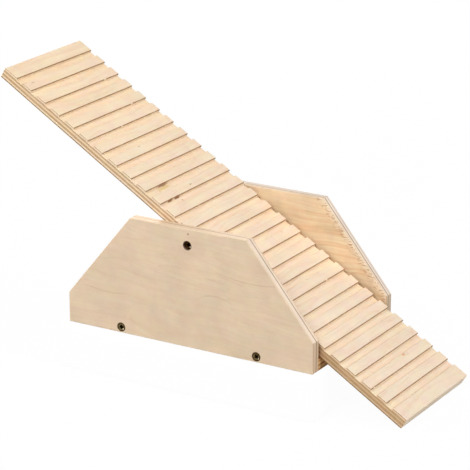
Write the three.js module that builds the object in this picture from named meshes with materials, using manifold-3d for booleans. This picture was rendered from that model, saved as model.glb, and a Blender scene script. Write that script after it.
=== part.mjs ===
// A hamster seesaw of birch plywood. Two hexagonal side plates stand on edge with a base board
// screwed between their feet, and a long plank with cross grooves tilts between them on two screws.
// Lengths are in millimetres. X runs along the plates towards the plank's low end, Y from the front
// plate to the back plate, and Z up. The origin is the middle of the base board's underside.

import * as THREE from "three";
import { mergeVertices } from "three/addons/utils/BufferGeometryUtils.js";
import Module from "manifold-3d";

const wasm = await Module();
wasm.setup();

// Side plates: a hexagon with a long bottom edge, short upright ends and a shorter top edge.
const plateLength = 157;
const plateTopLength = 74;
const plateHeight = 68.5;
const plateEndHeight = 17.7;
const plateThickness = 6.5;

// Base board: as long as the plates, held between their feet.
const boardThickness = 6.5;

// Plank: one board with cross grooves, which leave a tread between each two.
const plankLength = 300;
const plankWidth = 74;
const plankThickness = 6.5;
const plankOverhang = 1.8;
const grooveWidth = 4.4;
const grooveDepth = 1.4;
const endTreadLength = 9.6;
const grooveCount = 26;

// Sanded arrises of all the boards.
const edgeEase = 0.35;

// Pivot: its height, and the gap at each side of the plank that a spacer washer fills.
const pivotHeight = 59;
const sideGap = 1.9;
const washerDiameter = 5;

// Screws: all six are alike, with a flat countersunk head and a cross recess.
const screwLength = 22;
const screwDiameter = 2.5;
const screwCoreDiameter = 1.8;
const screwHeadDiameter = 5;
const screwHeadRim = 0.2;
const screwNeckLength = 5.5;
const screwTipLength = 2.6;
const threadPitch = 1.1;
const recessWidth = 2.9;
const recessSlot = 0.75;
const recessDepth = 1.3;
const baseScrewSpacing = 87.2;
const baseScrewSink = 0.15;
const pivotScrewSink = 1.3;

// Gaps: between a screw and its hole, between the turning and the standing pieces, and the length
// by which a cutting shape runs past the face that it cuts.
const holeClearance = 0.3;
const runningClearance = 0.3;
const cutOverrun = 1;

// Facets of a full turn.
const screwSides = 20;
const ringSides = 40;

const birchFace = new THREE.MeshStandardMaterial({ color: 0xe3c9a3, roughness: 0.62, metalness: 0 });
const birchPlank = new THREE.MeshStandardMaterial({ color: 0xf0d7b4, roughness: 0.62, metalness: 0 });
const zincSteel = new THREE.MeshStandardMaterial({ color: 0x6b6455, roughness: 0.38, metalness: 0.9 });
const paleNylon = new THREE.MeshStandardMaterial({ color: 0xd9d6cc, roughness: 0.5, metalness: 0 });

// Sizes that follow from the ones above.
const innerWidth = plankWidth + 2 * sideGap;
const outerWidth = innerWidth + 2 * plateThickness;
const screwRadius = screwDiameter / 2;
const headRadius = screwHeadDiameter / 2;
const headHeight = screwHeadRim + headRadius - screwRadius;
const holeRadius = screwRadius + holeClearance;
const baseScrewHeight = boardThickness / 2;
const pilotLength = screwLength - plateThickness + holeClearance;
const pivotPilotLength = screwLength + pivotScrewSink - plateThickness - sideGap + holeClearance;

// A closed geometry as a solid that can be cut and joined.
function solidFrom(geometry) {
  const bare = geometry.clone();
  bare.deleteAttribute("normal");
  bare.deleteAttribute("uv");
  const merged = mergeVertices(bare);
  const corners = merged.index.array;
  const kept = [];
  for (let i = 0; i < corners.length; i += 3) {
    const [a, b, c] = corners.slice(i, i + 3);
    if (a !== b && b !== c && c !== a) {
      kept.push(a, b, c);
    }
  }
  const vertProperties = new Float32Array(merged.attributes.position.array);
  const triVerts = new Uint32Array(kept);
  return new wasm.Manifold(new wasm.Mesh({ numProp: 3, vertProperties, triVerts }));
}

// A solid as a geometry with flat faces.
function geometryFrom(solid) {
  const mesh = solid.getMesh();
  const geometry = new THREE.BufferGeometry();
  geometry.setAttribute("position", new THREE.BufferAttribute(mesh.vertProperties, 3));
  geometry.setIndex(new THREE.BufferAttribute(mesh.triVerts, 1));
  const flat = geometry.toNonIndexed();
  flat.computeVertexNormals();
  return flat;
}

function points(pairs) {
  return pairs.map(([x, y]) => new THREE.Vector2(x, y));
}

// A board cut from an outline that lies in X and Z, with eased arrises on both faces. It reaches
// from y = 0 to y = thickness.
function boardFrom(outline, thickness) {
  const geometry = new THREE.ExtrudeGeometry(new THREE.Shape(points(outline)), {
    depth: thickness - 2 * edgeEase,
    bevelEnabled: true,
    bevelThickness: edgeEase,
    bevelSize: edgeEase,
    bevelOffset: -edgeEase,
    bevelSegments: 1,
  });
  geometry.rotateX(Math.PI / 2);
  geometry.translate(0, thickness - edgeEase, 0);
  return solidFrom(geometry);
}

// A round hole along Y that starts at y = 0 and follows a profile of radius and depth.
function roundCut(profile, x, z) {
  const [mouthRadius] = profile[0];
  const endDepth = profile[profile.length - 1][1];
  const outline = [[0, -cutOverrun], [mouthRadius, -cutOverrun], ...profile, [0, endDepth]];
  const geometry = new THREE.LatheGeometry(points(outline), screwSides);
  geometry.translate(x, 0, z);
  return solidFrom(geometry);
}

// The countersunk hole of a screw whose head lies the given depth under the plate's face.
function screwHoleProfile(sink) {
  const mouth = headRadius + holeClearance;
  const rimEnd = sink + screwHeadRim + holeClearance;
  const coneEnd = rimEnd + mouth - holeRadius;
  return [[mouth, rimEnd], [holeRadius, coneEnd], [holeRadius, plateThickness + cutOverrun]];
}

// The plate's outer face is at y = 0 and its inner face at y = plateThickness.
function platePart() {
  const foot = plateLength / 2;
  const shoulder = plateTopLength / 2;
  const outline = [
    [-foot, 0], [foot, 0], [foot, plateEndHeight],
    [shoulder, plateHeight], [-shoulder, plateHeight], [-foot, plateEndHeight],
  ];
  let plate = boardFrom(outline, plateThickness);
  for (const side of [-1, 1]) {
    const x = side * baseScrewSpacing / 2;
    plate = plate.subtract(roundCut(screwHoleProfile(baseScrewSink), x, baseScrewHeight));
  }
  plate = plate.subtract(roundCut(screwHoleProfile(pivotScrewSink), 0, pivotHeight));
  return geometryFrom(plate);
}

// A pilot hole bored into a board's edge, from the face at y = 0 or from the face opposite.
function edgeBore(length, x, z, width, fromFar) {
  const bore = roundCut([[holeRadius, length]], x, z);
  if (!fromFar) {
    return bore;
  }
  return bore.mirror([0, 1, 0]).translate([0, width, 0]);
}

// The base board fills the width between the plates and carries four pilot holes.
function baseBoardPart() {
  const end = plateLength / 2;
  const outline = [[-end, 0], [end, 0], [end, boardThickness], [-end, boardThickness]];
  let board = boardFrom(outline, innerWidth);
  for (const side of [-1, 1]) {
    for (const fromFar of [false, true]) {
      const x = side * baseScrewSpacing / 2;
      board = board.subtract(edgeBore(pilotLength, x, baseScrewHeight, innerWidth, fromFar));
    }
  }
  return geometryFrom(board);
}

// The plank's side outline, with its grooves along the top edge, about the pivot as origin.
function plankOutline() {
  const low = -plankThickness / 2;
  const high = plankThickness / 2;
  const start = plankOverhang - plankLength / 2;
  const end = plankOverhang + plankLength / 2;
  const firstGroove = start + endTreadLength;
  const lastGroove = end - endTreadLength - grooveWidth;
  const pitch = (lastGroove - firstGroove) / (grooveCount - 1);
  const outline = [
    [start, low + edgeEase], [start + edgeEase, low],
    [end - edgeEase, low], [end, low + edgeEase],
    [end, high - edgeEase], [end - edgeEase, high],
  ];
  for (let i = grooveCount - 1; i >= 0; i -= 1) {
    const left = firstGroove + i * pitch;
    const right = left + grooveWidth;
    outline.push([right, high], [right, high - grooveDepth], [left, high - grooveDepth], [left, high]);
  }
  outline.push([start + edgeEase, high], [start, high - edgeEase]);
  return outline;
}

function plankPart() {
  let plank = boardFrom(plankOutline(), plankWidth);
  for (const fromFar of [false, true]) {
    plank = plank.subtract(edgeBore(pivotPilotLength, 0, 0, plankWidth, fromFar));
  }
  return geometryFrom(plank);
}

// A pointed wood screw. Its head's top is at y = 0, and its point lies along +Y.
function screwPart() {
  const core = screwCoreDiameter / 2;
  const tipStart = screwLength - screwTipLength;
  const threadStart = headHeight + screwNeckLength;
  const turns = Math.floor((tipStart - threadStart) / threadPitch);
  const profile = [
    [0, 0], [headRadius, 0], [headRadius, screwHeadRim],
    [screwRadius, headHeight],
  ];
  for (let i = 0; i < turns; i += 1) {
    const crest = threadStart + i * threadPitch;
    profile.push([screwRadius, crest], [core, crest + threadPitch / 2]);
  }
  profile.push([core, tipStart], [0, screwLength]);
  const body = solidFrom(new THREE.LatheGeometry(points(profile), screwSides));
  return geometryFrom(body.subtract(crossRecess()));
}

// The cross recess: two tapered slots at right angles, open at the head's top.
function crossRecess() {
  const taperShare = 0.45;
  const height = recessDepth + cutOverrun;
  const mouthShare = 1 + (1 - taperShare) * cutOverrun / recessDepth;
  const corner = recessWidth / Math.SQRT2;
  const slot = new THREE.CylinderGeometry(corner * taperShare, corner * mouthShare, height, 4);
  slot.rotateY(Math.PI / 4);
  slot.scale(1, 1, recessSlot / recessWidth);
  slot.translate(0, (recessDepth - cutOverrun) / 2, 0);
  const first = solidFrom(slot);
  return first.add(first.rotate([0, 90, 0]));
}

// A flat ring on the pivot screw, between a plate and the plank. Its middle is at y = 0.
function washerPart() {
  const half = sideGap / 2 - runningClearance;
  const outer = washerDiameter / 2;
  const profile = [
    [holeRadius, -half], [outer, -half], [outer, half], [holeRadius, half], [holeRadius, -half],
  ];
  return geometryFrom(solidFrom(new THREE.LatheGeometry(points(profile), ringSides)));
}

function named(name, geometry, material) {
  const mesh = new THREE.Mesh(geometry, material);
  mesh.name = name;
  return mesh;
}

// The tilt at which the plank's underside meets the upper edge of the base board's end.
function stopTilt() {
  const reach = plateLength / 2;
  const drop = pivotHeight - boardThickness;
  const away = plankThickness / 2 + runningClearance;
  return Math.atan2(drop, reach) - Math.asin(away / Math.hypot(drop, reach));
}

// The two sides of the seesaw: where the plate's outer face lies, the turn that faces it outwards,
// and which end of the seesaw its first and second base screws are at.
const sides = [
  { name: "front", face: -outerWidth / 2, turn: 0, left: "left", right: "right" },
  { name: "back", face: outerWidth / 2, turn: Math.PI, left: "right", right: "left" },
];

const seesaw = new THREE.Group();
const stand = new THREE.Group();
const tilting = new THREE.Group();
seesaw.add(stand, tilting);
tilting.position.z = pivotHeight;
tilting.rotation.y = stopTilt();

const baseBoard = named("base_board", baseBoardPart(), birchFace);
baseBoard.position.y = -innerWidth / 2;
stand.add(baseBoard);

const plank = named("plank", plankPart(), birchPlank);
plank.position.y = -plankWidth / 2;
tilting.add(plank);

for (const side of sides) {
  const standSide = new THREE.Group();
  standSide.position.y = side.face;
  standSide.rotation.z = side.turn;
  stand.add(standSide);
  standSide.add(named(`side_plate_${side.name}`, platePart(), birchFace));
  for (const [x, end] of [[-baseScrewSpacing / 2, side.left], [baseScrewSpacing / 2, side.right]]) {
    const screw = named(`base_screw_${side.name}_${end}`, screwPart(), zincSteel);
    screw.position.set(x, baseScrewSink, baseScrewHeight);
    standSide.add(screw);
  }
  const pivotSide = new THREE.Group();
  pivotSide.position.y = side.face;
  pivotSide.rotation.z = side.turn;
  tilting.add(pivotSide);
  const pivotScrew = named(`pivot_screw_${side.name}`, screwPart(), zincSteel);
  pivotScrew.position.y = pivotScrewSink;
  const washer = named(`spacer_washer_${side.name}`, washerPart(), paleNylon);
  washer.position.y = plateThickness + sideGap / 2;
  pivotSide.add(pivotScrew, washer);
}

export default seesaw;
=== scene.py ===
import math

import bmesh
import bpy
from mathutils import Matrix, Vector, noise


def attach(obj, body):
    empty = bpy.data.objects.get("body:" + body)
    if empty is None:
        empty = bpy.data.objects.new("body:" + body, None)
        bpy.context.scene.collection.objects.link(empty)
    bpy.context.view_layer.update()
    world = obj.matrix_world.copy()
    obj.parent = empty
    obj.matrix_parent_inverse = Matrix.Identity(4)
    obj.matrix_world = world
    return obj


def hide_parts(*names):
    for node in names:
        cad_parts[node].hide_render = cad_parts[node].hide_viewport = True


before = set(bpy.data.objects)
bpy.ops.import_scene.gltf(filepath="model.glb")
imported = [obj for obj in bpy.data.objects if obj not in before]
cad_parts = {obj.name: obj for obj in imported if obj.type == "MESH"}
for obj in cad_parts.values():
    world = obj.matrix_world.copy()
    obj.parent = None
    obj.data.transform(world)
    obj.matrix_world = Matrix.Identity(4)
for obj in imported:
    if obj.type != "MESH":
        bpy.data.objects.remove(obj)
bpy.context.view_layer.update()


# Camera. It looks at the seesaw from the front right and a little above, from far enough away for
# the long lens that keeps the plates' edges nearly parallel.
view_azimuth = math.radians(30.76)
view_elevation = math.radians(18.81)
view_roll = math.radians(0.11)
view_distance = 1.3568
view_centre = Vector((-0.0058, 0.0150, 0.0465))
lens_length = 183.92
film_width = 36
far_limit = 20

camera_data = bpy.data.cameras.new("camera")
camera_data.lens = lens_length
camera_data.sensor_width = film_width
camera_data.clip_end = far_limit
camera = bpy.data.objects.new("camera", camera_data)
camera.matrix_world = (
    Matrix.Translation(view_centre)
    @ Matrix.Rotation(view_azimuth, 4, "Z")
    @ Matrix.Rotation(math.pi / 2 - view_elevation, 4, "X")
    @ Matrix.Rotation(view_roll, 4, "Z")
    @ Matrix.Translation((0, 0, view_distance))
)
bpy.context.collection.objects.link(camera)
bpy.context.scene.camera = camera


# Base board. A flat plywood board lies on the ground between the two side plates and is as long as
# they are. Four screws hold it, two into each long edge, where it has drilled pilot holes.
# All pieces are drawn in millimetres and scaled to metres when they are placed.
mm = 0.001
board_length = 157
board_width = 77.8
board_thickness = 6.5
board_ease = 0.35
ease_steps = 3
base_screw_spacing = 87.2
base_screw_height = board_thickness / 2
pilot_radius = 1.3
base_pilot_depth = 15.6
pilot_point = 1.2
hole_sides = 48
weld_gap = 0.0001
weld_reach = 0.001
sharp_angle = math.radians(38)

# Marks in birch veneer: their lengths along the grain and their widths across it.
ring_length = 150
ring_width = 26
streak_length = 70
streak_width = 2.2
blush_length = 10
blush_width = 7
straw_length = 8
straw_width = 6
fibre_length = 6
fibre_width = 0.4
pore_length = 1.8
pore_width = 0.2
stub_size = 0.35
patch_length = 3
patch_depth = 0.7
grain_level_size = 3
ply_sway_size = 16
ply_sway_share = 0.05
bend_size = 45
bend_reach = 12
blotch_size = 16
fibre_relief = 0.00006


def rgb(red, green, blue):
    """A screen colour, from 0 to 255, as the linear light that shaders work in."""
    shares = [value / 255 for value in (red, green, blue)]
    return [((share + 0.055) / 1.055) ** 2.4 for share in shares] + [1]


# Soft noise runs from 0 to 1 about this middle.
noise_middle = 0.5


class Shade:
    """A number that varies over a surface. Arithmetic on it adds the nodes that it needs."""

    def __init__(self, finish, socket):
        self.finish = finish
        self.socket = socket

    def math(self, operation, *others):
        return self.finish.node("ShaderNodeMath", {"operation": operation}, [self, *others])

    def __add__(self, other):
        return self.math("ADD", other)

    def __sub__(self, other):
        return self.math("SUBTRACT", other)

    def __rsub__(self, other):
        return self.finish.node("ShaderNodeMath", {"operation": "SUBTRACT"}, [other, self])

    def __mul__(self, other):
        return self.math("MULTIPLY", other)

    def __truediv__(self, other):
        return self.math("DIVIDE", other)

    def __pow__(self, power):
        return self.math("POWER", power)

    def __abs__(self):
        return self.math("ABSOLUTE")

    __radd__ = __add__
    __rmul__ = __mul__

    def rise(self, low, high):
        """0 up to low, 1 from high on, and a smooth climb between them."""
        limits = {"Value": self, "From Min": low, "From Max": high}
        return self.finish.node("ShaderNodeMapRange", {"interpolation_type": "SMOOTHSTEP"}, limits)

    def least(self, other):
        """The smaller of the two at each point."""
        return self.math("MINIMUM", other)

    def swing(self):
        """How far noise lies above or below its middle."""
        return self - noise_middle


class Finish:
    """The nodes of one material, or of the world, and the ways in which they are added."""

    def __init__(self, owner):
        self.owner = owner
        owner.use_nodes = True
        self.tree = owner.node_tree
        self.tree.nodes.clear()

    def node(self, kind, settings, sockets, out=0):
        """Adds a node, sets it up, fills its sockets, and gives one of its outputs."""
        made = self.tree.nodes.new(kind)
        for setting, value in settings.items():
            if setting == "stops":
                self.lay_stops(made.color_ramp, value)
            else:
                setattr(made, setting, value)
        named = sockets.items() if isinstance(sockets, dict) else enumerate(sockets)
        for key, value in named:
            if isinstance(value, Shade):
                self.tree.links.new(value.socket, made.inputs[key])
            else:
                made.inputs[key].default_value = value
        return Shade(self, made.outputs[out]) if made.outputs else None

    def lay_stops(self, ramp, stops):
        """Gives a colour ramp sharp steps, as between one ply and the next."""
        ramp.interpolation = "CONSTANT"
        while len(ramp.elements) < len(stops):
            ramp.elements.new(1)
        for element, (place, colour) in zip(ramp.elements, stops):
            element.position = place
            element.color = colour

    def mix(self, share, first, second, blend="MIX"):
        """The first colour, with the given share of the second mixed in."""
        settings = {"data_type": "RGBA", "blend_type": blend}
        return self.node("ShaderNodeMix", settings, {0: share, 6: first, 7: second}, out=2)

    def stain(self, colour, share, tint):
        """A colour that is stained with the given share of a tint."""
        return self.mix(share, colour, self.mix(1.0, colour, tint, blend="MULTIPLY"))

    def tinge(self, colour, share, first, second):
        """A colour multiplied by something between two tinges."""
        return self.mix(1.0, colour, self.mix(share, first, second), blend="MULTIPLY")

    def dim(self, colour, share):
        """A colour made lighter or darker by a share."""
        return self.node("ShaderNodeVectorMath", {"operation": "SCALE"}, {0: colour, 3: share})

    def axes(self, vector):
        """The three numbers that make up a vector."""
        return [self.node("ShaderNodeSeparateXYZ", {}, [vector], out=axis) for axis in "XYZ"]

    def cloud(self, x, y, z, detail=2.0, roughness=0.5, distortion=0.0):
        """Soft noise from 0 to 1 about its middle, at a place given by three numbers."""
        place = self.node("ShaderNodeCombineXYZ", {}, [x, y, z])
        settings = {"Vector": place, "Scale": 1.0, "Detail": detail}
        settings.update({"Roughness": roughness, "Distortion": distortion})
        return self.node("ShaderNodeTexNoise", {}, settings)

    def surface(self, colour, roughness, height, relief, constants):
        """Joins the varying colour, roughness and height to the shader that the light meets."""
        bump_sockets = {"Strength": 1.0, "Distance": relief, "Height": height}
        bump = self.node("ShaderNodeBump", {}, bump_sockets, out="Normal")
        sockets = {"Base Color": colour, "Roughness": roughness, "Normal": bump, **constants}
        shader = self.node("ShaderNodeBsdfPrincipled", {}, sockets)
        self.node("ShaderNodeOutputMaterial", {}, [shader])
        return self.owner


# How each mark in the veneer is spread, from where to where its noise shows, and how strongly.
sway_spread = {"detail": 3}
bend_spread = {"detail": 1}
ring_spread = {"detail": 2, "distortion": 0.2}
ring_sharpness = 7
ring_tint = rgb(206, 172, 132)
region_spread = {"detail": 1, "shift": 7}
region_seen = (0.4, 0.65)
streak_spread = {"detail": 3, "roughness": 0.6, "shift": 3}
streak_seen = (0.35, 0.75)
streak_tint = rgb(226, 186, 138)
cross_fade_share = 0.75
blush_spread = {"detail": 3, "shift": 5}
straw_spread = {"detail": 3, "shift": 9}
tinge_seen = (0.35, 0.65)
blush_tinges = ((1.0, 1.02, 1.0, 1), (1.01, 0.96, 0.985, 1))
straw_tinges = ((1.01, 1.005, 0.965, 1), (0.99, 0.995, 1.015, 1))
blotch_spread = {"detail": 4}
fibre_spread = {"detail": 4, "roughness": 0.65}
fibre_dim_share = 0.15
fibre_height_share = 0.6
fibre_rough_share = 0.16
pore_spread = {"detail": 1}
pore_seen = (0.66, 0.8)
pore_dim_share = 0.17
pore_height_share = 0.7
stub_spread = {"detail": 3, "roughness": 0.7}
stub_height_share = 0.9
patch_spread = {"detail": 2}

# End grain: the slopes at which it shows, and the shares of its stain that lie evenly, in stubs and
# in patches.
cross_end_share = 0.5
end_slopes = (0.25, 1.0)
end_even_share = 0.3
end_stub_share = 0.5
end_patch_share = 0.8
end_rough_share = 0.12

# The sheen of sanded wood, before its fibres vary it.
sanded_roughness = 0.6
sanded_gloss = 0.32


class Plywood(Finish):
    """Solid plywood: each point takes its look from the ply that it lies in and that ply's grain.

    axes names the board's own directions that run along the face grain, across it, and through the
    thickness. plies lists, from the outer face inwards, where each ply starts as a share of the
    thickness, whether it is laid crosswise, and its colour where it is cut along the grain.
    lean is how far the grain runs off to the side, as a share of its length. corner and turn say
    where the board's own directions start and how they are turned.
    """

    def __init__(self, name, corner, turn, axes, thickness, plies, seed, lean=0):
        super().__init__(bpy.data.materials.new(name))
        place = self.node("ShaderNodeTexCoord", {}, {}, out="Object")
        facing = self.node("ShaderNodeTexCoord", {}, {}, out="Normal")
        to_board = {"Vector": place, "Location": corner, "Rotation": turn, "Scale": (mm, mm, mm)}
        own = self.axes(self.node("ShaderNodeMapping", {"vector_type": "TEXTURE"}, to_board))
        to_turn = {"Vector": facing, "Rotation": turn}
        slopes = self.axes(self.node("ShaderNodeMapping", {"vector_type": "TEXTURE"}, to_turn))
        order = ["XYZ".index(axis) for axis in axes]
        self.along, self.across, self.through = [own[axis] for axis in order]
        steepness = [abs(slopes[axis]) for axis in order]
        self.along_slope, self.across_slope, self.through_slope = steepness
        self.seed = seed
        sway = self.cloud(
            self.along / ply_sway_size, self.across / ply_sway_size,
            self.through / ply_sway_size + seed, **sway_spread,
        )
        self.depth = self.through / thickness + sway.swing() * ply_sway_share
        crosswise = [(start, (laid, laid, laid, 1)) for start, laid, _ in plies]
        tones = [(start, tone) for start, _, tone in plies]
        self.crossed = self.node("ShaderNodeValToRGB", {"stops": crosswise}, [self.depth])
        self.tone = self.node("ShaderNodeValToRGB", {"stops": tones}, [self.depth])
        bend = self.cloud(self.along / bend_size, self.across / bend_size, -seed, **bend_spread)
        self.grain = self.along + (self.across - self.along) * self.crossed
        self.side = self.across + (self.along - self.across) * self.crossed + self.grain * lean
        self.side = self.side + bend.swing() * bend_reach
        cross_end = self.across_slope * cross_end_share
        self.end = self.along_slope + (cross_end - self.along_slope) * self.crossed
        self.end = self.end.rise(*end_slopes)

    def figure(self, length, width, shift=0, **spread):
        """Noise in blots of a given length along the grain and width across it.

        Another shift gives blots that lie in other places.
        """
        level = self.through / grain_level_size + self.seed + shift
        return self.cloud(self.grain / length, self.side / width, level, **spread)

    def grow(self, rings, streaks, blotches, tinges, ring_count, end_stain):
        """Growth rings, streaks, tinges, blotches, fibres and pores, from broad to fine."""
        drift = self.figure(ring_length, ring_width, **ring_spread)
        lines = (drift * ring_count).math("FRACT") ** ring_sharpness
        region = self.figure(ring_length, ring_width, **region_spread)
        bands = self.figure(streak_length, streak_width, **streak_spread)
        blush = self.figure(blush_length, blush_width, **blush_spread).rise(*tinge_seen)
        straw = self.figure(straw_length, straw_width, **straw_spread).rise(*tinge_seen)
        blush = noise_middle + blush.swing() * tinges
        straw = noise_middle + straw.swing() * tinges
        blotch = self.cloud(
            self.along / blotch_size, self.across / blotch_size, self.seed, **blotch_spread,
        )
        fibre = self.cloud(
            self.grain / fibre_length, self.side / fibre_width,
            self.through / fibre_width + self.seed, **fibre_spread,
        )
        pores = self.cloud(
            self.grain / pore_length, self.side / pore_width,
            self.through / pore_width + self.seed, **pore_spread,
        ).rise(*pore_seen)
        stub = self.cloud(
            self.along / stub_size, self.across / stub_size,
            self.through / stub_size + self.seed, **stub_spread,
        )
        patch = self.cloud(
            self.along / patch_length, self.across / patch_length,
            self.through / patch_depth + self.seed, **patch_spread,
        )
        self.colour = self.tinge(self.tone, blush, *blush_tinges)
        self.colour = self.tinge(self.colour, straw, *straw_tinges)
        self.colour = self.stain(self.colour, lines * region.rise(*region_seen) * rings, ring_tint)
        streaks = (1.0 - self.crossed * cross_fade_share) * streaks
        self.colour = self.stain(self.colour, bands.rise(*streak_seen) * streaks, streak_tint)
        stained = end_even_share + stub * end_stub_share + patch * end_patch_share
        self.colour = self.stain(self.colour, self.end * stained, end_stain)
        self.colour = self.dim(self.colour, 1.0 - blotch.swing() * blotches)
        dimmed = fibre.swing() * fibre_dim_share + pores * pore_dim_share
        self.colour = self.dim(self.colour, 1.0 - dimmed)
        self.roughness = sanded_roughness + fibre.swing() * fibre_rough_share
        self.roughness = self.roughness + self.end * end_rough_share
        self.height = fibre.swing() * fibre_height_share - pores * pore_height_share
        self.height = self.height + stub.swing() * self.end * stub_height_share

    def mark(self, share, colour):
        """Lays a colour over the share of the surface that a mask gives."""
        self.colour = self.mix(share, self.colour, colour)

    def sanded(self):
        """The finished material, with the sheen of sanded wood."""
        gloss = {"Specular IOR Level": sanded_gloss}
        return self.surface(self.colour, self.roughness, self.height, fibre_relief, gloss)


def drawn(outline):
    """A flat face in X and Z, as the start of a board."""
    bm = bmesh.new()
    bm.faces.new([bm.verts.new((x, 0, z)) for x, z in outline])
    return bm


def corners_of(geometry):
    return [part for part in geometry if isinstance(part, bmesh.types.BMVert)]


def edges_of(geometry):
    return [part for part in geometry if isinstance(part, bmesh.types.BMEdge)]


def thicken(bm, thickness):
    """Pulls a flat face out along Y, so that the board's middle lies at y = 0."""
    bmesh.ops.translate(bm, vec=(0, -thickness / 2, 0), verts=bm.verts)
    grown = bmesh.ops.extrude_face_region(bm, geom=bm.faces[:])["geom"]
    bmesh.ops.translate(bm, vec=(0, thickness, 0), verts=corners_of(grown))
    bmesh.ops.recalc_face_normals(bm, faces=bm.faces)


def ease(bm, edges, width, steps):
    """Rounds edges over, as sanding does."""
    bmesh.ops.bevel(
        bm, geom=edges, offset=width, offset_type="OFFSET", segments=steps, profile=0.5,
        affect="EDGES", material=-1, clamp_overlap=True,
    )


def broad_face(bm, direction):
    """The largest face that looks in a direction."""
    return max(bm.faces, key=lambda face: face.normal.dot(direction) * face.calc_area())


def open_holes(bm, face, places, radius, sides):
    """Opens round holes in a flat face that looks along Y, and gives each hole's rim."""
    y = face.verts[0].co.y
    border = list(face.edges)
    bmesh.ops.delete(bm, geom=[face], context="FACES_ONLY")
    rims = []
    for x, z in places:
        lie = Matrix.Translation((x, y, z)) @ Matrix.Rotation(math.pi / 2, 4, "X")
        ring = bmesh.ops.create_circle(bm, segments=sides, radius=radius, matrix=lie)["verts"]
        rims.append(list({edge for corner in ring for edge in corner.link_edges}))
    whole = border + [edge for rim in rims for edge in rim]
    bmesh.ops.triangle_fill(bm, use_beauty=True, edges=whole)
    return rims


def sink(bm, rim, centre, inward, profile):
    """Carries a round rim on through a profile of radius and depth, and gives the last ring."""
    for (radius, depth), (next_radius, next_depth) in zip(profile, profile[1:]):
        grown = bmesh.ops.extrude_edge_only(bm, edges=rim)["geom"]
        ring = corners_of(grown)
        share = next_radius / radius
        to_centre = Matrix.Translation(-(centre + inward * depth))
        bmesh.ops.scale(bm, vec=(share, share, share), space=to_centre, verts=ring)
        bmesh.ops.translate(bm, vec=inward * (next_depth - depth), verts=ring)
        members = set(ring)
        rim = [edge for edge in edges_of(grown) if members.issuperset(edge.verts)]
    return rim


def drill_blind(bm, face, places, radius, depth, point):
    """Drills round holes with a conical bottom into a flat face that looks along Y."""
    inward = -face.normal
    level = face.verts[0].co.y
    rims = open_holes(bm, face, places, radius, hole_sides)
    for (x, z), rim in zip(places, rims):
        profile = [(radius, 0), (radius, depth), (radius * weld_gap, depth + point)]
        sink(bm, rim, Vector((x, level, z)), inward, profile)


def settle(bm, name, placement):
    """Welds and scales what has been shaped, and puts it in the scene as a piece of its own."""
    bmesh.ops.remove_doubles(bm, verts=bm.verts, dist=weld_reach)
    bmesh.ops.recalc_face_normals(bm, faces=bm.faces)
    bmesh.ops.transform(bm, matrix=Matrix.Scale(mm, 4) @ placement, verts=bm.verts)
    mesh = bpy.data.meshes.new(name)
    bm.to_mesh(mesh)
    bm.free()
    mesh.shade_smooth()
    mesh.set_sharp_from_angle(angle=sharp_angle)
    piece = bpy.data.objects.new(name, mesh)
    bpy.context.collection.objects.link(piece)
    keep_flat = piece.modifiers.new("flat faces stay flat", "WEIGHTED_NORMAL")
    keep_flat.keep_sharp = True
    return piece


half_length = board_length / 2
base = drawn([
    (-half_length, 0), (half_length, 0),
    (half_length, board_thickness), (-half_length, board_thickness),
])
thicken(base, board_width)
ease(base, base.edges[:], board_ease, ease_steps)
base_pilots = [(side * base_screw_spacing / 2, base_screw_height) for side in (-1, 1)]
for looking in (Vector((0, -1, 0)), Vector((0, 1, 0))):
    edge_face = broad_face(base, looking)
    drill_blind(base, edge_face, base_pilots, pilot_radius, base_pilot_depth, pilot_point)
base_piece = settle(base, "ground_board", Matrix.Identity(4))

# The cross plies and the end stain are golden, partly as painted warm shade for the ends under the
# plank.
base_face = rgb(236, 206, 162)
base_core = rgb(212, 176, 130)
base_cross = rgb(232, 194, 140)
base_plies = [
    (0.0, 0, base_face), (0.2, 1, base_cross), (0.4, 0, base_core),
    (0.6, 1, base_cross), (0.8, 0, base_face),
]
base_end_stain_and_shade = rgb(222, 180, 118)
base_finish = Plywood(
    "ground_board_birch", (0, 0, 0), (0, 0, 0), "XYZ", board_thickness, base_plies, seed=3.1,
)
base_finish.grow(
    rings=0.3, streaks=0.3, blotches=0.1, tinges=0.5, ring_count=16, end_stain=base_end_stain_and_shade,
)
base_piece.data.materials.append(base_finish.sanded())
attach(base_piece, "stand")
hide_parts("base_board")


# Side plates. Two like hexagons of five-ply birch stand on their long edges. Their arrises are
# sanded, and each has three countersunk holes: two low ones for the base board, one for the pivot.
plate_thickness = 6.5
plate_top_length = 74
plate_height = 68.5
plate_end_height = 17.7
plate_middle = (board_width + plate_thickness) / 2
pivot_height = 59
head_radius = 2.5
head_rim = 0.2
head_room = 0.1
shank_radius = 1.25
base_screw_sink = 0.15
pivot_screw_sink = 1.3
mouth_ease = 0.12
mouth_steps = 2

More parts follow.
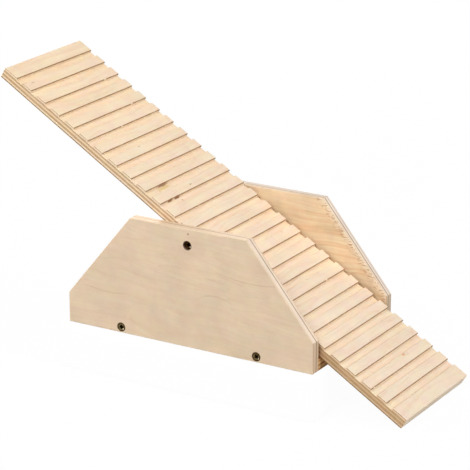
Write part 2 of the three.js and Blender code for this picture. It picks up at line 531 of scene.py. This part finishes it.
plate_ring_count = 16
plate_rings = 0.15
plate_streaks = 0.12
plate_blotches = 0.3
plate_tinges = 0.6
plate_core = rgb(197, 172, 148)
plate_fourth = rgb(244, 227, 207)
plate_sorts = {
    "front": {
        "looks": -1, "inner_streaks": 0.2, "inner_blotches": 0.3, "lean": 0.06, "seed": 11.3,
        "top_shade": rgb(241, 233, 218),
        "plies": [
            (0.0, 0, rgb(235, 212, 183)), (0.2, 1, rgb(245, 227, 209)), (0.51, 0, plate_core),
            (0.645, 1, plate_fourth), (0.8, 0, rgb(239, 219, 197)),
        ],
    },
    "back": {
        "looks": 1, "inner_streaks": 0.5, "inner_blotches": 0.6, "lean": 0, "seed": 27.9,
        "top_shade": rgb(224, 217, 206),
        # Painted light: the back plate's outer plies are paler and greyer, as light spilling round its
        # edges.
        "plies": [
            (0.0, 0, rgb(236, 220, 202)), (0.12, 0, rgb(220, 212, 205)), (0.3, 1, rgb(244, 228, 212)),
            (0.51, 0, plate_core), (0.645, 1, plate_fourth), (0.8, 0, rgb(250, 229, 195)),
        ],
    },
}
plate_end_stain = rgb(246, 240, 234)
# Painted shade that darkens the plates' upright ends and top edges.
upright_end_shade = rgb(232, 225, 212)
square_slopes = (0.85, 0.97)
inner_half_depths = (0.7, 0.8)


def countersunk(sink_depth):
    """The radii and depths of a screw hole, from its mouth to the plate's inner face."""
    mouth = head_radius + head_room
    narrow = shank_radius + head_room
    rim_end = sink_depth + head_rim + head_room
    return [
        (mouth, 0), (mouth, rim_end), (narrow, rim_end + mouth - narrow), (narrow, plate_thickness),
    ]


def ring_near(bm, centre, radius):
    """The edges of the round rim about a hole's mouth."""
    return [
        edge for edge in bm.edges
        if all(abs((corner.co - centre).length - radius) < weld_gap for corner in edge.verts)
        and all(abs(corner.co.y - centre.y) < weld_gap for corner in edge.verts)
    ]


def side_plate(looks):
    """A plate about y = 0 that looks along -Y or +Y."""
    foot = board_length / 2
    shoulder = plate_top_length / 2
    plate = drawn([
        (-foot, 0), (foot, 0), (foot, plate_end_height),
        (shoulder, plate_height), (-shoulder, plate_height), (-foot, plate_end_height),
    ])
    thicken(plate, plate_thickness)
    ease(plate, plate.edges[:], board_ease, ease_steps)
    low_holes = [(side * base_screw_spacing / 2, base_screw_height) for side in (-1, 1)]
    holes = [(place, base_screw_sink) for place in low_holes]
    holes.append(((0, pivot_height), pivot_screw_sink))
    places = [where for where, _ in holes]
    outward = Vector((0, looks, 0))
    mouth = countersunk(0)[0][0]
    narrow = countersunk(0)[-1][0]
    outer_rims = open_holes(plate, broad_face(plate, outward), places, mouth, hole_sides)
    open_holes(plate, broad_face(plate, -outward), places, narrow, hole_sides)
    level = looks * plate_thickness / 2
    for ((x, z), depth), rim in zip(holes, outer_rims):
        sink(plate, rim, Vector((x, level, z)), -outward, countersunk(depth))
    bmesh.ops.remove_doubles(plate, verts=plate.verts, dist=weld_reach)
    bmesh.ops.recalc_face_normals(plate, faces=plate.faces)
    for x, z in places:
        ease(plate, ring_near(plate, Vector((x, level, z)), mouth), mouth_ease, mouth_steps)
    return plate


# The saw left the edges of the outer ply paler, and tore fibres from the inner face along the
# slanted edges.
sawn_pale = rgb(248, 228, 206)
sawn_share = 0.5
fray_reach = 1.7
torn_reach = 5
chip_reach = 3.4
torn_length = 3
torn_width = 0.6
fray_rag = 5
torn_pale = rgb(250, 229, 202)
torn_brown = rgb(180, 122, 72)
torn_spread = {"detail": 2, "shift": 11}
inner_ply_depths = (0.86, 0.94)
outer_ply_depths = (0.18, 0.22)
fray_core_share = 0.6
chip_core_share = 0.4
torn_core_share = 0.3
pale_dashes = (0.46, 0.54)
brown_dashes = (0.4, 0.46)
frayed_share = 0.7
torn_pale_share = 0.85
torn_brown_share = 0.65


def paint_shade_on_square_ends(finish, top_shade):
    """Painted shade: the upright ends and the top edge are a little darker than the slanted edges."""
    ends = finish.along_slope.rise(*square_slopes)
    finish.colour = finish.stain(finish.colour, ends, upright_end_shade)
    top = finish.across_slope.rise(*square_slopes)
    finish.colour = finish.stain(finish.colour, top, top_shade)


def tear_edges(finish):
    """Pale sawn edges, and a frayed rim with pale chips and brown nicks on the inner face."""
    run = (board_length - plate_top_length) / 2
    slope = Vector((plate_height - plate_end_height, run)).normalized()
    past = abs(finish.along) - plate_top_length / 2
    inset = (past * slope.x + (finish.across - plate_height) * slope.y) * -1
    inner = finish.depth.rise(*inner_ply_depths)
    outer = 1.0 - finish.depth.rise(*outer_ply_depths)
    finish.mark((1.0 - finish.through_slope) * outer * sawn_share, sawn_pale)
    dashes = finish.figure(torn_length, torn_width, **torn_spread)
    ragged = inset + dashes.swing() * fray_rag
    frayed = (1.0 - ragged.rise(fray_reach * fray_core_share, fray_reach)) * frayed_share
    near = 1.0 - inset.rise(chip_reach * chip_core_share, chip_reach)
    far = 1.0 - inset.rise(torn_reach * torn_core_share, torn_reach)
    pale = (dashes.rise(*pale_dashes) * near + frayed).least(1)
    finish.mark(pale * inner * torn_pale_share, torn_pale)
    brown = 1.0 - dashes.rise(*brown_dashes)
    finish.mark(brown * far * inner * torn_brown_share, torn_brown)


# The holes' walls and rims are darker.
hole_wall_dark = rgb(92, 62, 36)
hole_dark_share = 0.85
hole_dark_reach = 0.22
hole_dark_depths = (0.5, 0.6)


def darken_holes(finish):
    """The three screw holes, darker inside and a little way round their mouths."""
    mouth = head_radius + head_room
    shallow = 1.0 - finish.depth.rise(*hole_dark_depths)
    from_low_holes = abs(finish.along) - base_screw_spacing / 2
    for aside, height in ((finish.along, pivot_height), (from_low_holes, base_screw_height)):
        distance = (aside * aside + (finish.across - height) ** 2) ** 0.5
        near = 1.0 - distance.rise(mouth, mouth + hole_dark_reach)
        finish.mark(near * shallow * hole_dark_share, hole_wall_dark)


# Single marks in the outer veneer of the front plate.
rag_size = 1.4
rag_spread = {"detail": 3}
rag_share = 1.2
mark_rim = (0.5, 1.2)
mark_depth_share = 0.06
mark_fade_share = 0.03
vein_brown = rgb(206, 172, 134)
dot_brown = rgb(176, 138, 100)
plate_marks = [
    {"along": 40, "across": 44.3, "long": 50, "wide": 0.9, "bow": 3.5, "tint": vein_brown, "share": 0.4},
    {"along": -52, "across": 22.5, "long": 34, "wide": 1, "bow": 2.5, "tint": vein_brown, "share": 0.35},
    {"along": 18, "across": 33, "long": 26, "wide": 1, "bow": -4, "tint": vein_brown, "share": 0.3},
    {"along": 0.5, "across": 65.6, "long": 1.6, "wide": 1.3, "tint": dot_brown, "share": 0.8},
    {"along": 61.7, "across": 42.9, "long": 1.8, "wide": 0.7, "tint": dot_brown, "share": 0.7},
]


def fleck(finish, along, across, long, wide, tint, share, bow=0, deep=mark_depth_share):
    """Lays a single mark into the outer veneer, long along the grain, with a ragged edge."""
    rag = finish.cloud(finish.along / rag_size, finish.across / rag_size, finish.seed, **rag_spread)
    lengthwise = (finish.along - along) / (long / 2)
    widthwise = (finish.across - across - lengthwise * lengthwise * bow) / (wide / 2)
    distance = (lengthwise * lengthwise + widthwise * widthwise) ** 0.5 + rag.swing() * rag_share
    shallow = 1.0 - finish.depth.rise(deep, deep + mark_fade_share)
    finish.mark((1.0 - distance.rise(*mark_rim)) * shallow * share, tint)


for name, sort in plate_sorts.items():
    looks = sort["looks"]
    plate_piece = settle(
        side_plate(looks), f"hexagon_plate_{name}", Matrix.Translation((0, looks * plate_middle, 0)),
    )
    outer_face = looks * (plate_middle + plate_thickness / 2) * mm
    turned = (0, 0, 0) if looks < 0 else (0, 0, math.pi)
    plate_finish = Plywood(
        f"plate_birch_{name}", (0, outer_face, 0), turned, "XZY", plate_thickness, sort["plies"],
        seed=sort["seed"], lean=sort["lean"],
    )
    inner = plate_finish.depth.rise(*inner_half_depths)
    streaks = plate_streaks + inner * (sort["inner_streaks"] - plate_streaks)
    blotches = plate_blotches + inner * (sort["inner_blotches"] - plate_blotches)
    plate_finish.grow(
        plate_rings, streaks, blotches, plate_tinges, plate_ring_count, plate_end_stain,
    )
    tear_edges(plate_finish)
    paint_shade_on_square_ends(plate_finish, sort["top_shade"])
    darken_holes(plate_finish)
    if name == "front":
        for plate_mark in plate_marks:
            fleck(plate_finish, **plate_mark)
    plate_piece.data.materials.append(plate_finish.sanded())
    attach(plate_piece, "stand")
    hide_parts(f"side_plate_{name}")


# Plank. One long plywood board, whose grain runs across it, with grooves routed from side to side
# so that a tread is left between each two. It turns on a screw driven into each long edge.
plank_length = 300
plank_width = 74
plank_thickness = 6.5
plank_overhang = 1.8
plank_tilt = math.radians(31.6199)
groove_width = 4.4
groove_depth = 1.4
groove_count = 26
end_tread = 9.6
plank_ease = 0.35
plank_ease_steps = 2
plank_pilot_depth = 14.9
first_groove = plank_overhang - plank_length / 2 + end_tread
groove_pitch = (plank_length - 2 * end_tread - groove_width) / (groove_count - 1)

# Unevenness of the treads' edges, and the chips that the router broke out of them.
wear_spacing = 1
wear_band = 0.9
wear_height = 0.05
wear_size = 2.2
chip_size = 1.4
chip_depth = 1.1
chip_start = 0.42
down_shift = 9
chip_shift = 21

plank_face = rgb(245, 226, 202)
plank_long = rgb(244, 218, 184)
plank_cross = rgb(247, 221, 188)
plank_floor = rgb(246, 225, 198)
plank_last = rgb(249, 229, 202)
plank_under = rgb(232, 204, 168)
plank_end_stain = rgb(208, 194, 176)

# The lower arris of each tread is darkened: partly router scorch, partly painted shade.
groove_line_core = 0.15
groove_line_reach = 0.55
groove_line_lift = 0.08
groove_line_patch_size = 3
groove_line_spread = {"detail": 3}
groove_line_least_share = 0.7
groove_line_patch_share = 0.6
groove_line_end_gap = 1
groove_line_end_fade = 1
scorch_and_shade_tint = rgb(154, 128, 101)
veneer_depths = (0.04, 0.1)
side_slopes = (0.5, 0.9)

# Single marks in the plank's face: a stained chip with darker chips beside it, specks, a small
# knot, and pale chips that break the dark groove lines.
stain_yellow = rgb(220, 190, 126)
chip_brown = rgb(150, 104, 66)
speck_brown = rgb(160, 128, 94)
knot_orange = rgb(224, 166, 120)
pale_chip = rgb(246, 224, 196)
plank_mark_depth_share = 0.24
plank_marks = [
    {"along": 19.4, "across": -37.3, "long": 12, "wide": 2.6, "tint": stain_yellow, "share": 0.75},
    {"along": 25.3, "across": -36.5, "long": 3, "wide": 2.6, "tint": stain_yellow, "share": 0.5},
    {"along": 20, "across": -39, "long": 10, "wide": 1.5, "tint": chip_brown, "share": 0.7},
    {"along": 26.7, "across": -28, "long": 5.5, "wide": 1.3, "tint": chip_brown, "share": 0.9},
    {"along": 19.4, "across": -28, "long": 6.5, "wide": 1.3, "tint": chip_brown, "share": 0.9},
    {"along": 1.7, "across": -31.2, "long": 2.6, "wide": 0.9, "tint": speck_brown, "share": 0.8},
    {"along": 17.1, "across": -25.3, "long": 1.2, "wide": 0.9, "tint": speck_brown, "share": 0.8},
    {"along": 7.4, "across": -66.8, "long": 2.4, "wide": 0.8, "tint": speck_brown, "share": 0.6},
    {"along": 35.4, "across": -134, "long": 5, "wide": 0.8, "tint": speck_brown, "share": 0.6},
    {"along": 29.6, "across": -132.4, "long": 4, "wide": 0.8, "tint": speck_brown, "share": 0.5},
    {"along": -9.8, "across": 120.7, "long": 3, "wide": 2.2, "tint": knot_orange, "share": 0.9},
    {"along": -23, "across": -116.5, "long": 2, "wide": 1.6, "tint": pale_chip, "share": 0.9},
    {"along": -21.7, "across": -94.4, "long": 2, "wide": 1.6, "tint": pale_chip, "share": 0.9},
    {"along": 2.9, "across": -83.3, "long": 2, "wide": 1.6, "tint": pale_chip, "share": 0.9},
    {"along": -16.1, "across": 60.4, "long": 2.2, "wide": 1.6, "tint": pale_chip, "share": 0.9},
]

# Painted shade: towards the low end the plies are yellower where the long sides cut them.
side_shade_start = -20
side_shade_end = 110
low_end_shade_tint = rgb(254, 244, 228)

# The face is warmer towards the high end; the top ply looks dark on the edges, the lowest by painted
# shade.
warm_start = -150
warm_end = 60
warm_tint = rgb(255, 252, 244)
edge_tint = rgb(206, 192, 174)
bottom_arris_shade_tint = rgb(220, 210, 198)
top_ply_depths = (0.04, 0.07)
low_ply_depths = (0.86, 0.9)
edge_slopes = (0.3, 0.7)

# The square ends are paler and greyer. The lower plies are painted darker towards the low end, as shade.
square_end_pale = rgb(252, 238, 214)
square_end_pale_share = 0.5
lower_ply_shade_tint = rgb(236, 234, 232)
lower_ply_depths = (0.3, 0.36)
plank_plies = [
    (0.0, 0, plank_face), (0.05, 1, plank_floor), (0.2, 0, plank_floor), (0.365, 1, plank_long),
    (0.53, 0, plank_cross), (0.715, 1, plank_last), (0.87, 0, plank_under),
]


def plank_outline():
    """The plank seen from its long side: a bar whose top edge drops into every groove."""
    top = plank_thickness / 2
    floor = top - groove_depth
    start = plank_overhang - plank_length / 2
    outline = [(start, -top), (start + plank_length, -top), (start + plank_length, top)]
    for groove in reversed(range(groove_count)):
        left = first_groove + groove * groove_pitch
        right = left + groove_width
        outline += [(right, top), (right, floor), (left, floor), (left, top)]
    return outline + [(start, top)]


def wear_treads(bm):
    """Leaves the treads' tops and arrises slightly uneven and here and there chipped."""
    top = plank_thickness / 2
    strips = int(plank_width / wear_spacing)
    for cut in range(1, strips):
        y = cut * plank_width / strips - plank_width / 2
        everything = bm.verts[:] + bm.edges[:] + bm.faces[:]
        bmesh.ops.bisect_plane(bm, geom=everything, plane_co=(0, y, 0), plane_no=(0, 1, 0))
    inside = plank_width / 2 - wear_spacing
    for corner in bm.verts:
        if top - wear_band < corner.co.z and abs(corner.co.y) < inside:
            past_groove = (corner.co.x - first_groove - groove_width / 2) % groove_pitch
            inwards = 1 if past_groove < groove_pitch / 2 else -1
            along = noise.noise(corner.co / wear_size)
            down = noise.noise(corner.co / wear_size + Vector((0, 0, down_shift)))
            chip = noise.noise(corner.co / chip_size + Vector((0, 0, chip_shift)))
            chip = max(0, chip - chip_start)
            corner.co.x += along * wear_height + inwards * chip * chip_depth
            corner.co.z -= abs(down) * wear_height + chip * chip_depth / 2


def scorch_and_shade_grooves(finish):
    """Darkens a patchy line along the wall where each groove starts, not near the low end: scorch and
    painted shade.
    """
    past_wall = ((finish.across - first_groove) / groove_pitch + 0.5).math("FRACT") - 0.5
    away = abs(past_wall * groove_pitch + groove_line_lift)
    patchy = finish.cloud(
        finish.along / groove_line_patch_size, finish.across / groove_line_patch_size, finish.seed, **groove_line_spread,
    )
    line = 1.0 - away.rise(groove_line_core, groove_line_reach)
    line = line * (groove_line_least_share + patchy * groove_line_patch_share)
    shallow = 1.0 - finish.depth.rise(*veneer_depths)
    inside = 1.0 - finish.along_slope.rise(*side_slopes)
    last_wall = first_groove + (groove_count - 1) * groove_pitch
    line_end = last_wall + groove_line_end_gap
    before_end = 1.0 - finish.across.rise(line_end, line_end + groove_line_end_fade)
    share = (line * shallow * inside * before_end).least(1)
    finish.colour = finish.stain(finish.colour, share, scorch_and_shade_tint)


plank = drawn(plank_outline())
thicken(plank, plank_width)
ease(plank, [edge for edge in plank.edges if edge.is_convex], plank_ease, plank_ease_steps)
for looking in (Vector((0, -1, 0)), Vector((0, 1, 0))):
    edge_face = broad_face(plank, looking)
    drill_blind(plank, edge_face, [(0, 0)], pilot_radius, plank_pilot_depth, pilot_point)
wear_treads(plank)
plank_place = Matrix.Translation((0, 0, pivot_height)) @ Matrix.Rotation(plank_tilt, 4, "Y")
plank_piece = settle(plank, "grooved_plank", plank_place)

plank_top = plank_place @ Vector((0, 0, plank_thickness / 2)) * mm
plank_finish = Plywood(
    "plank_birch", plank_top, (math.pi, plank_tilt, 0), "YXZ", plank_thickness, plank_plies, seed=41.7,
)
plank_finish.grow(
    rings=0.15, streaks=0.2, blotches=0.14, tinges=1, ring_count=10, end_stain=plank_end_stain,
)
warmed = 1.0 - plank_finish.across.rise(warm_start, warm_end)
plank_finish.colour = plank_finish.stain(plank_finish.colour, warmed, warm_tint)
top_line = 1.0 - plank_finish.depth.rise(*top_ply_depths)
top_line = top_line * plank_finish.along_slope.rise(*edge_slopes)
# Painted shade: the lowest ply is darkened along the bottom arris of the edges.
bottom_arris_shade = plank_finish.depth.rise(*low_ply_depths)
bottom_arris_shade = bottom_arris_shade * (1.0 - plank_finish.through_slope.rise(*edge_slopes))
plank_finish.colour = plank_finish.stain(plank_finish.colour, top_line, edge_tint)
plank_finish.colour = plank_finish.stain(plank_finish.colour, bottom_arris_shade, bottom_arris_shade_tint)
low_end_side_shade = plank_finish.across.rise(side_shade_start, side_shade_end)
low_end_side_shade = low_end_side_shade * plank_finish.along_slope.rise(*side_slopes)
plank_finish.colour = plank_finish.stain(plank_finish.colour, low_end_side_shade, low_end_shade_tint)
shaded_lower_plies = plank_finish.crossed * plank_finish.depth.rise(*lower_ply_depths)
plank_finish.colour = plank_finish.stain(plank_finish.colour, low_end_side_shade * shaded_lower_plies, lower_ply_shade_tint)
plank_finish.mark(plank_finish.across_slope.rise(*square_slopes) * square_end_pale_share, square_end_pale)
scorch_and_shade_grooves(plank_finish)
for plank_mark in plank_marks:
    fleck(plank_finish, **plank_mark, deep=plank_mark_depth_share)
plank_piece.data.materials.append(plank_finish.sanded())
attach(plank_piece, "tilting_plank")
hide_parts("plank")


# Screws. Six countersunk wood screws of dull zinc-plated steel with a cross recess. Four lie flush
# in the plates and hold the base board, and two deeper ones are the pivot, driven into the plank.
screw_length = 22
screw_tip = 2.6
screw_neck_end = 7
thread_pitch = 1.1
thread_rings = 8
ridge_share = 0.5
core_radius = 0.9
head_round = 0.12
round_share = 0.3
recess_reach = 1.5
recess_half_slot = 0.55
recess_depth = 1.35
recess_lip = 0.08
recess_lip_share = 0.93
recess_share = 0.42
tip_share = 0.02
screw_sides = 40
screw_turn = 0.7
screw_facts = ("right", "up", "depth", "tarnish")


def cross_outline():
    """The corners of the cross recess, all round."""
    arm = [(recess_reach, -recess_half_slot), (recess_reach, recess_half_slot)]
    outline = []
    for quarter in range(4):
        turn = Matrix.Rotation(quarter * math.pi / 2, 2)
        outline += [turn @ Vector(corner) for corner in arm]
        outline.append(turn @ Vector((recess_half_slot, recess_half_slot)))
    return outline


def cut_recess(bm):
    """Draws the head's flat top round the cross recess, and sinks the recess to its pointed floor."""
    lip = head_radius - head_round
    ring = bmesh.ops.create_circle(bm, segments=screw_sides, radius=lip)["verts"]
    rim = list({edge for corner in ring for edge in corner.link_edges})
    corners = [bm.verts.new((place.x, place.y, 0)) for place in cross_outline()]
    cross = [bm.edges.new(pair) for pair in zip(corners, corners[1:] + corners[:1])]
    bmesh.ops.triangle_fill(bm, use_beauty=True, edges=rim + cross)
    walls = [(1, 0), (recess_lip_share, recess_lip), (recess_share, recess_depth)]
    floor = sink(bm, cross, Vector(), Vector((0, 0, -1)), walls)
    bmesh.ops.contextual_create(bm, geom=floor)
    return rim


def cut_thread(bm):
    """Winds the thread round the shank: its crest climbs one pitch in each turn."""
    for corner in bm.verts:
        depth = -corner.co.z
        radius = corner.co.xy.length
        if screw_neck_end < depth < screw_length - weld_gap and radius > weld_gap:
            angle = math.atan2(corner.co.y, corner.co.x) / math.tau
            phase = (depth / thread_pitch + angle) % 1
            ridge = max(0, 1 - abs(phase - 0.5) / (ridge_share / 2))
            taper = min(1, (screw_length - depth) / screw_tip)
            fade = min(taper, (depth - screw_neck_end) / thread_pitch)
            wanted = core_radius * taper + (shank_radius - core_radius) * ridge * fade
            corner.co.xy *= wanted / radius


def wood_screw(turn, tarnish):
    """A screw with its head's top at the origin and its point down, turned about its own axis.

    Each corner keeps its place on the head, its depth, and the screw's tarnish and painted shade for the
    finish.
    """
    bm = bmesh.new()
    rim = cut_recess(bm)
    head_end = head_rim + head_radius - shank_radius
    profile = [
        (head_radius - head_round, 0),
        (head_radius - head_round * round_share, head_round * round_share),
        (head_radius, head_round), (head_radius, head_rim), (shank_radius, head_end),
        (shank_radius, screw_neck_end),
    ]
    count = int((screw_length - screw_neck_end) / thread_pitch * thread_rings)
    for ring in range(1, count):
        profile.append((core_radius, screw_neck_end + ring * thread_pitch / thread_rings))
    profile.append((core_radius * tip_share, screw_length))
    last = sink(bm, rim, Vector(), Vector((0, 0, -1)), profile)
    bmesh.ops.contextual_create(bm, geom=last)
    cut_thread(bm)
    bmesh.ops.rotate(bm, matrix=Matrix.Rotation(turn, 3, "Z"), verts=bm.verts)
    layers = [bm.verts.layers.float.new(title) for title in screw_facts]
    for corner in bm.verts:
        for layer, value in zip(layers, (corner.co.x, corner.co.y, -corner.co.z, tarnish)):
            corner[layer] = value
    return bm


grit_size = 0.0011
haze_size = 0.004
zinc_relief = 0.00003
zinc_pale = rgb(132, 118, 76)
zinc_dull = rgb(86, 72, 40)
zinc_dark = rgb(62, 36, 10)
recess_shade_black = rgb(22, 14, 6)
glint_white = rgb(252, 240, 212)
zinc_smooth = 0.26
grit_spread = {"detail": 4, "roughness": 0.7}
grit_rough_share = 0.2
darkened_rough_share = 0.15
haze_seen = (0.3, 0.7)
rim_shade_shares = (0.74, 0.9)
lip_shade_share = 0.5
wall_shade_share = 0.3
floor_share = 1.1
black_shares = (0.15, 0.4)
glint_depths = (0.1, 0.3)
ring_glint_start = 1.45
ring_glint_end = 1.9
ring_glint_start_fade = 0.1
ring_glint_end_fade = 0.2
ring_glint_grit = (0.45, 0.6)
ring_glint_share = 0.22
glint_right = 1.2
glint_up = -0.95
glint_reach = 0.42
zinc = Finish(bpy.data.materials.new("screw_zinc"))
zinc_spot = zinc.axes(zinc.node("ShaderNodeTexCoord", {}, {}, out="Object"))
zinc_grit = zinc.cloud(*[axis / grit_size for axis in zinc_spot], **grit_spread)
zinc_haze = zinc.cloud(*[axis / haze_size for axis in zinc_spot])
right, up, depth, tarnish = [
    zinc.node("ShaderNodeAttribute", {"attribute_name": title}, {}, out="Fac")
    for title in screw_facts
]
reach = (right * right + up * up) ** 0.5
# Painted shade: a dark ring where the head's rim lies below the plate, and a darker cross recess.
rim_shade = reach.rise(*[head_radius * share for share in rim_shade_shares])
above_floor = 1.0 - depth.rise(recess_depth, recess_depth * floor_share)
recess_shade = depth.rise(recess_lip * lip_shade_share, recess_depth * wall_shade_share) * above_floor
shade_and_tarnish = (rim_shade + recess_shade + tarnish).least(1)
zinc_colour = zinc.mix(zinc_haze.rise(*haze_seen), zinc_pale, zinc_dull)
zinc_colour = zinc.mix(shade_and_tarnish, zinc_colour, zinc_dark)
# Painted shade: the deep part of the recess turns black.
deep_recess_shade = depth.rise(*[recess_depth * share for share in black_shares]) * above_floor
zinc_colour = zinc.mix(deep_recess_shade, zinc_colour, recess_shade_black)

# Painted highlights: a broken bright ring round the recess, and a bright spot low on the right of each
# head.
ring_glint = reach.rise(ring_glint_start - ring_glint_start_fade, ring_glint_start)
ring_glint = ring_glint * (1.0 - reach.rise(ring_glint_end - ring_glint_end_fade, ring_glint_end))
ring_glint = ring_glint * zinc_grit.rise(*ring_glint_grit) * ring_glint_share * (1.0 - tarnish)
glint_spot = ((right - glint_right) ** 2 + (up - glint_up) ** 2) ** 0.5
glint_spot = 1.0 - glint_spot.rise(glint_reach / 2, glint_reach)
painted_glints = (ring_glint + glint_spot).least(1) * (1.0 - depth.rise(*glint_depths))
zinc_colour = zinc.mix(painted_glints, zinc_colour, glint_white)
zinc_roughness = zinc_smooth + zinc_grit * grit_rough_share + shade_and_tarnish * darkened_rough_share
zinc_material = zinc.surface(zinc_colour, zinc_roughness, zinc_grit, zinc_relief, {"Metallic": 1.0})

# The base screws differ in tarnish; the pivot screws are painted dark, as the shade of their deep holes.
base_tarnish = {"left": 0.1, "right": 0.5}
pivot_shade = 0.92
outer_level = plate_middle + plate_thickness / 2
screw_spots = []
for name, sort in plate_sorts.items():
    flush = sort["looks"] * (outer_level - base_screw_sink)
    sunk = sort["looks"] * (outer_level - pivot_screw_sink)
    for end, side in (("left", -1), ("right", 1)):
        spot = (side * base_screw_spacing / 2, flush, base_screw_height)
        named = f"base_screw_{name}_{end}"
        screw_spots.append((named, "stand", sort["looks"], spot, base_tarnish[end]))
    spot = (0, sunk, pivot_height)
    named = f"pivot_screw_{name}"
    screw_spots.append((named, "tilting_plank", sort["looks"], spot, pivot_shade))
for number, (name, body, looks, spot, tarnish) in enumerate(screw_spots):
    stand_up = Matrix.Rotation(-looks * math.pi / 2, 4, "X")
    screw_place = Matrix.Translation(spot) @ stand_up
    screw_piece = settle(wood_screw(number * screw_turn, tarnish), f"crosshead_{name}", screw_place)
    screw_piece.data.materials.append(zinc_material)
    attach(screw_piece, body)
    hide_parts(name)


# Washers. A flat nylon ring on each pivot screw keeps the plank clear of the plate, and turns with
# the plank.
side_gap = 1.9
washer_play = 0.3
washer_hole = 1.55
washer_radius = 2.5
washer_round = 0.15
washer_round_steps = 2
washer_steps = 64
nylon_grit_size = 0.0017
nylon_relief = 0.00002
nylon_spread = {"detail": 3}
nylon_roughness = 0.4
nylon_rough_share = 0.15
nylon_pale = rgb(226, 222, 208)
nylon_dull = rgb(214, 209, 192)

nylon = Finish(bpy.data.materials.new("washer_nylon"))
nylon_spot = nylon.axes(nylon.node("ShaderNodeTexCoord", {}, {}, out="Object"))
nylon_cloud = nylon.cloud(*[axis / nylon_grit_size for axis in nylon_spot], **nylon_spread)
nylon_colour = nylon.mix(nylon_cloud, nylon_pale, nylon_dull)
nylon_rough = nylon_roughness + nylon_cloud * nylon_rough_share
nylon_material = nylon.surface(nylon_colour, nylon_rough, nylon_cloud, nylon_relief, {})

for name, sort in plate_sorts.items():
    half = side_gap / 2 - washer_play
    washer = drawn([
        (washer_hole, -half), (washer_radius, -half), (washer_radius, half), (washer_hole, half),
    ])
    bmesh.ops.bevel(
        washer, geom=washer.verts[:], offset=washer_round, offset_type="OFFSET", profile=0.5,
        segments=washer_round_steps, affect="VERTICES", material=-1, clamp_overlap=True,
    )
    border = washer.edges[:]
    bmesh.ops.delete(washer, geom=washer.faces[:], context="FACES_ONLY")
    bmesh.ops.spin(
        washer, geom=border, cent=(0, 0, 0), axis=(0, 0, 1), angle=math.tau, steps=washer_steps,
        use_merge=True,
    )
    middle = Vector((0, sort["looks"] * (board_width - side_gap) / 2, pivot_height))
    washer_place = Matrix.Translation(middle) @ Matrix.Rotation(math.pi / 2, 4, "X")
    washer_piece = settle(washer, f"pivot_washer_{name}", washer_place)
    washer_piece.data.materials.append(nylon_material)
    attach(washer_piece, "tilting_plank")
    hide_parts(f"spacer_washer_{name}")


# Studio. The stand is on a low white block, so that the plank's low end can hang below the plates,
# on a pale floor that fades to white. Broad lamps above the front and on the right give soft light,
# a low one on the left softens the fronts, and one behind lights the far sides.
block_half_length = 82
block_half_width = 53
block_height = 25
block_ease = 2
floor_half = 4
near_white = 0.3
far_white = 1.1
near_glow = 0.97
ambient_light = 0.2
bounce_white = (0.45, 0.45, 0.45, 1)
clean_white = (0.95, 0.95, 0.95, 1)
pure_white = (1, 1, 1, 1)


def camera_sees(finish):
    """1 for what the camera sees, also in a reflection, and 0 for light that bounces on."""
    rays = ("Is Camera Ray", "Is Glossy Ray", "Is Transmission Ray")
    return sum(finish.node("ShaderNodeLightPath", {}, {}, out=ray) for ray in rays).least(1)


studio = Finish(bpy.data.materials.new("studio_white"))
studio_spot = studio.axes(studio.node("ShaderNodeTexCoord", {}, {}, out="Object"))
from_middle = (studio_spot[0] * studio_spot[0] + studio_spot[1] * studio_spot[1]) ** 0.5
seen = camera_sees(studio)
glow_share = seen * (near_glow + from_middle.rise(near_white, far_white) * (1 - near_glow))
matt_white = studio.mix(seen, bounce_white, clean_white)
matt = studio.node("ShaderNodeBsdfDiffuse", {}, {"Color": matt_white})
glow = studio.node("ShaderNodeEmission", {}, {"Color": pure_white, "Strength": 1.0})
lit = studio.node("ShaderNodeMixShader", {}, [glow_share, matt, glow])
studio.node("ShaderNodeOutputMaterial", {}, [lit])

block = bmesh.new()
bmesh.ops.create_cube(block, size=2)
block_half_sizes = (block_half_length, block_half_width, block_height / 2)
bmesh.ops.scale(block, vec=block_half_sizes, verts=block.verts)
bmesh.ops.translate(block, vec=(0, 0, -block_height / 2), verts=block.verts)
ease(block, block.edges[:], block_ease, ease_steps)
block_piece = settle(block, "studio_block", Matrix.Identity(4))

floor = bmesh.new()
bmesh.ops.create_grid(floor, x_segments=2, y_segments=2, size=floor_half / mm)
floor_piece = settle(floor, "studio_floor", Matrix.Translation((0, 0, -block_height)))
for stage_piece in (block_piece, floor_piece):
    stage_piece.data.materials.append(studio.owner)

world = bpy.data.worlds.new("studio_world")
sky = Finish(world)
ambient = sky.node("ShaderNodeBackground", {}, {"Color": pure_white, "Strength": ambient_light})
white_sky = sky.node("ShaderNodeBackground", {}, {"Color": pure_white, "Strength": 1.0})
seen_sky = sky.node("ShaderNodeMixShader", {}, [camera_sees(sky), ambient, white_sky])
sky.node("ShaderNodeOutputWorld", {}, [seen_sky])
bpy.context.scene.world = world

lamps = {
    "key_lamp": {"at": (-0.05, -0.96, 1.19), "size": 0.7, "watts": 12.7},
    "right_lamp": {"at": (4.35, 0, 2.51), "size": 2, "watts": 125},
    "left_lamp": {"at": (-2.6, -1.62, 0.56), "size": 1.75, "watts": 38},
    "back_lamp": {"at": (-0.91, 1.30, 0.30), "size": 0.5, "watts": 12.5},
}
for name, lamp in lamps.items():
    light = bpy.data.lights.new(name, "AREA")
    light.shape = "DISK"
    light.size = lamp["size"]
    light.energy = lamp["watts"]
    holder = bpy.data.objects.new(name, light)
    holder.location = lamp["at"]
    holder.rotation_euler = Vector(lamp["at"]).to_track_quat("Z", "Y").to_euler()
    bpy.context.collection.objects.link(holder)

bpy.context.scene.view_settings.view_transform = "Standard"
